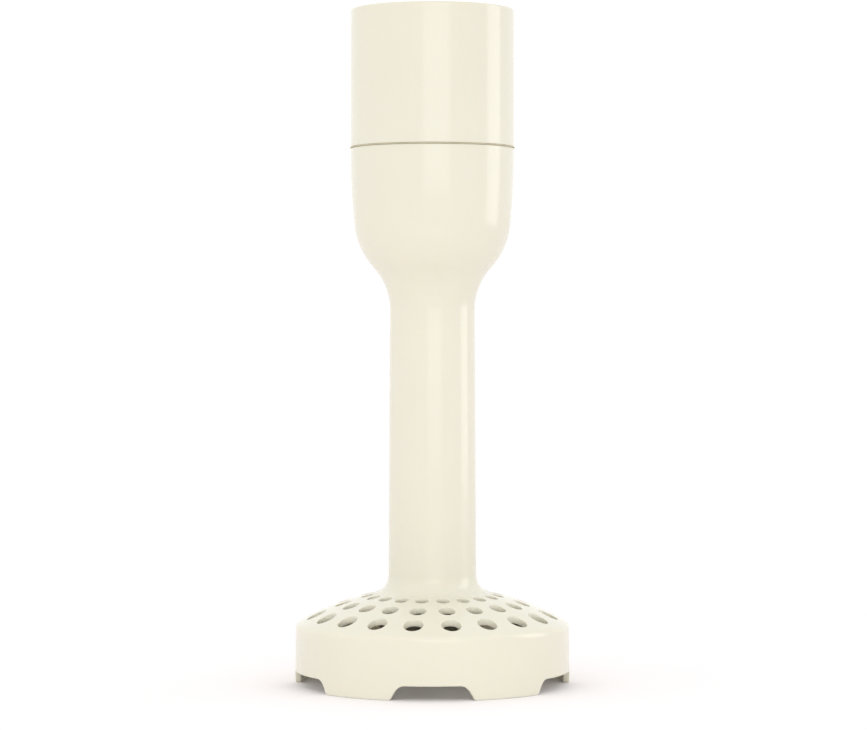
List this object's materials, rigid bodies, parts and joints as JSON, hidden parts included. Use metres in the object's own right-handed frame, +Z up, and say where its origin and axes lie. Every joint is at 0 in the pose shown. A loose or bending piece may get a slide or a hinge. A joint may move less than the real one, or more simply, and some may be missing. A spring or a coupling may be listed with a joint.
{
  "type": "hand blender masher attachment",
  "caption": "Masher attachment for a hand blender: perforated domed foot on a slim leg, drive shaft and paddle inside, and a push-on planetary gearbox collar above.",
  "frame": {"origin": "on the axis, at the bottom of the foot's rim, where the attachment stands", "axes": "+Z up the leg to the motor end, -Y the front seen in the picture, +X to the right"},
  "size_m": [0.1008, 0.1008, 0.2467],
  "materials": {
    "cream_plastic": "glossy",
    "white_plastic": "satin",
    "grey_plastic": "satin",
    "steel": "machined",
    "bronze": "sintered",
    "black_rubber": "matt",
    "seam_rubber": "matt"
  },
  "bodies": {
    "leg": {"masher_leg": "cream_plastic", "bearing_carrier": "white_plastic", "upper_bush": "bronze", "lower_bush": "bronze", "shaft_tube": "white_plastic", "shaft_seal": "black_rubber", "seal_washer": "steel", "carrier_screw_1": "steel", "carrier_screw_2": "steel", "carrier_screw_3": "steel"},
    "gearbox": {"gearbox_housing": "cream_plastic", "gear_cover": "white_plastic", "ring_gear": "white_plastic", "input_bush": "bronze", "output_bush": "bronze", "motor_side_seal": "black_rubber", "joint_gasket": "seam_rubber", "cover_screw_1": "steel", "cover_screw_2": "steel", "cover_screw_3": "steel"},
    "input": {"input_coupler": "grey_plastic", "sun_gear_1": "steel"},
    "first_carrier": {"carrier_1": "steel", "sun_gear_2": "steel", "planet_pin_1a": "steel", "planet_pin_1b": "steel", "planet_pin_1c": "steel"},
    "planet_1a": {"planet_gear_1a": "white_plastic"},
    "planet_1b": {"planet_gear_1b": "white_plastic"},
    "planet_1c": {"planet_gear_1c": "white_plastic"},
    "second_carrier": {"carrier_2": "steel", "stage_washer": "steel", "planet_pin_2a": "steel", "planet_pin_2b": "steel", "planet_pin_2c": "steel"},
    "planet_2a": {"planet_gear_2a": "white_plastic"},
    "planet_2b": {"planet_gear_2b": "white_plastic"},
    "planet_2c": {"planet_gear_2c": "white_plastic"},
    "shaft": {"drive_shaft": "steel", "shaft_circlip": "steel", "shaft_coupling": "grey_plastic"},
    "paddle_body": {"paddle": "grey_plastic"}
  },
  "joints": [
    {"name": "gearbox_lift", "type": "slide", "parent": "leg", "child": "gearbox", "axis": [0, 0, 1], "range_m": [0, 0.03]},
    {"name": "shaft_spin", "type": "hinge", "parent": "leg", "child": "shaft", "pos_m": [0, 0, 0.1], "axis": [0, 0, 1], "continuous": true},
    {"name": "paddle_pull", "type": "slide", "parent": "shaft", "child": "paddle_body", "axis": [0, 0, -1], "range_m": [0, 0.02]},
    {"name": "input_spin", "type": "hinge", "parent": "gearbox", "child": "input", "pos_m": [0, 0, 0.23], "axis": [0, 0, 1], "continuous": true},
    {"name": "carrier_1_spin", "type": "hinge", "parent": "gearbox", "child": "first_carrier", "pos_m": [0, 0, 0.212], "axis": [0, 0, 1], "continuous": true},
    {"name": "carrier_2_spin", "type": "hinge", "parent": "gearbox", "child": "second_carrier", "pos_m": [0, 0, 0.2], "axis": [0, 0, 1], "continuous": true},
    {"name": "planet_1a_spin", "type": "hinge", "parent": "first_carrier", "child": "planet_1a", "pos_m": [0.012, 0, 0.217], "axis": [0, 0, 1], "continuous": true},
    {"name": "planet_1b_spin", "type": "hinge", "parent": "first_carrier", "child": "planet_1b", "pos_m": [-0.006, 0.01039, 0.217], "axis": [0, 0, 1], "continuous": true},
    {"name": "planet_1c_spin", "type": "hinge", "parent": "first_carrier", "child": "planet_1c", "pos_m": [-0.006, -0.01039, 0.217], "axis": [0, 0, 1], "continuous": true},
    {"name": "planet_2a_spin", "type": "hinge", "parent": "second_carrier", "child": "planet_2a", "pos_m": [0.012, 0, 0.206], "axis": [0, 0, 1], "continuous": true},
    {"name": "planet_2b_spin", "type": "hinge", "parent": "second_carrier", "child": "planet_2b", "pos_m": [-0.006, 0.01039, 0.206], "axis": [0, 0, 1], "continuous": true},
    {"name": "planet_2c_spin", "type": "hinge", "parent": "second_carrier", "child": "planet_2c", "pos_m": [-0.006, -0.01039, 0.206], "axis": [0, 0, 1], "continuous": true}
  ],
  "couplings": [
    {"joint": "input_spin", "follows": "shaft_spin", "ratio": 25},
    {"joint": "carrier_1_spin", "follows": "shaft_spin", "ratio": 5},
    {"joint": "carrier_2_spin", "follows": "shaft_spin", "ratio": 1},
    {"joint": "planet_1a_spin", "follows": "shaft_spin", "ratio": -13.333},
    {"joint": "planet_1b_spin", "follows": "shaft_spin", "ratio": -13.333},
    {"joint": "planet_1c_spin", "follows": "shaft_spin", "ratio": -13.333},
    {"joint": "planet_2a_spin", "follows": "shaft_spin", "ratio": -2.6667},
    {"joint": "planet_2b_spin", "follows": "shaft_spin", "ratio": -2.6667},
    {"joint": "planet_2c_spin", "follows": "shaft_spin", "ratio": -2.6667}
  ]
}
